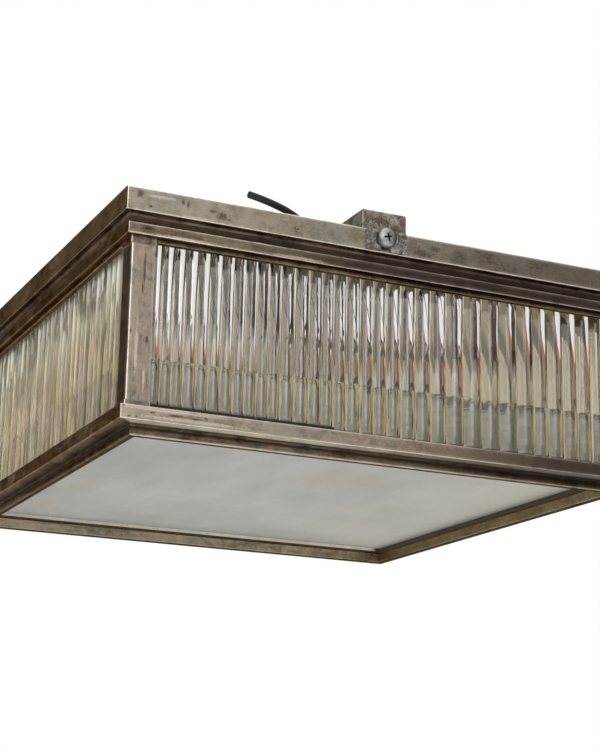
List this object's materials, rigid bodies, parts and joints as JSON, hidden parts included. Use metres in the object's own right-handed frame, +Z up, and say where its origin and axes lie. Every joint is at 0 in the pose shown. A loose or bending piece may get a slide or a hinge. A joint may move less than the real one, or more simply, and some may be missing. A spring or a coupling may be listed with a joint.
{
  "type": "ceiling light",
  "caption": "Square flush ceiling lantern: aged moulded metal frame, walls of clear glass rods, frosted bottom pane, crossbar with side fixing screws and a short lead.",
  "frame": {"origin": "middle of the crossbar's top face, which lies against the ceiling, half way between the two ceiling screw holes", "axes": "+Z up into the ceiling; the crossbar runs along Y, its front end at -Y; the supply lead leaves towards the front left (-X, -Y)"},
  "size_m": [0.345, 0.3558, 0.1504],
  "materials": {
    "aged_metal": "aged nickel over brass, brown patina with worn bright edges",
    "rod_glass": "clear polished glass rod",
    "frosted_glass": "frosted",
    "putty": "matt, slightly rough",
    "felt": "dark felt",
    "dark_steel": "blackened",
    "bar_steel": "dull grey with rust stains",
    "zinc_steel": "zinc plated",
    "brass": "dull brass",
    "bakelite": "brown moulded, satin",
    "lamp_glass": "opal white",
    "white_nylon": "moulded",
    "black_rubber": "matt black"
  },
  "bodies": {
    "lantern": {"bottom_rail_back": "aged_metal", "bottom_rail_front": "aged_metal", "bottom_rail_left": "aged_metal", "bottom_rail_right": "aged_metal", "bracket_screws": "zinc_steel", "corner_brackets": "bar_steel", "corner_post_back_left": "aged_metal", "corner_post_back_right": "aged_metal", "corner_post_front_left": "aged_metal", "corner_post_front_right": "aged_metal", "crossbar": "bar_steel", "earth_nut": "zinc_steel", "earth_screw": "zinc_steel", "fillet_rail_back": "aged_metal", "fillet_rail_front": "aged_metal", "fillet_rail_left": "aged_metal", "fillet_rail_right": "aged_metal", "frosted_pane": "frosted_glass", "glass_rods_back": "rod_glass", "glass_rods_front": "rod_glass", "glass_rods_left": "rod_glass", "glass_rods_right": "rod_glass", "holder_nipples": "brass", "holder_nuts": "brass", "holder_rings": "bakelite", "lamp_straps": "bar_steel", "lamp_wires": "black_rubber", "lampholders": "bakelite", "lead_gland": "black_rubber", "lip_moulding_back": "aged_metal", "lip_moulding_front": "aged_metal", "lip_moulding_left": "aged_metal", "lip_moulding_right": "aged_metal", "pane_bedding": "putty", "post_caps": "aged_metal", "post_feet": "aged_metal", "rod_keeps": "dark_steel", "rod_packing": "felt", "rod_seats": "dark_steel", "slotted_plates": "bar_steel", "strap_screws": "zinc_steel", "strap_spacers": "bar_steel", "supply_lead": "black_rubber", "terminal_block": "white_nylon", "terminal_screws": "brass", "top_rail_back": "aged_metal", "top_rail_front": "aged_metal", "top_rail_left": "aged_metal", "top_rail_right": "aged_metal"},
    "front_screw": {"fixing_screw_front": "zinc_steel"},
    "back_screw": {"fixing_screw_back": "zinc_steel"},
    "lamp_front_left": {"lamp_cap_front_left": "brass", "lamp_glass_front_left": "lamp_glass"},
    "lamp_front_right": {"lamp_cap_front_right": "brass", "lamp_glass_front_right": "lamp_glass"},
    "lamp_back_left": {"lamp_cap_back_left": "brass", "lamp_glass_back_left": "lamp_glass"},
    "lamp_back_right": {"lamp_cap_back_right": "brass", "lamp_glass_back_right": "lamp_glass"}
  },
  "joints": [
    {"name": "front_screw_turn", "type": "hinge", "parent": "lantern", "child": "front_screw", "pos_m": [0, -0.174, -0.017], "axis": [0, -1, 0], "continuous": true},
    {"name": "back_screw_turn", "type": "hinge", "parent": "lantern", "child": "back_screw", "pos_m": [0, 0.174, -0.017], "axis": [0, 1, 0], "continuous": true},
    {"name": "lamp_front_left_unscrew", "type": "hinge", "parent": "lantern", "child": "lamp_front_left", "pos_m": [-0.0682, -0.08, -0.0588], "axis": [0, 0, 1], "continuous": true},
    {"name": "lamp_front_right_unscrew", "type": "hinge", "parent": "lantern", "child": "lamp_front_right", "pos_m": [0.0918, -0.08, -0.0588], "axis": [0, 0, 1], "continuous": true},
    {"name": "lamp_back_left_unscrew", "type": "hinge", "parent": "lantern", "child": "lamp_back_left", "pos_m": [-0.0682, 0.08, -0.0588], "axis": [0, 0, 1], "continuous": true},
    {"name": "lamp_back_right_unscrew", "type": "hinge", "parent": "lantern", "child": "lamp_back_right", "pos_m": [0.0918, 0.08, -0.0588], "axis": [0, 0, 1], "continuous": true}
  ]
}
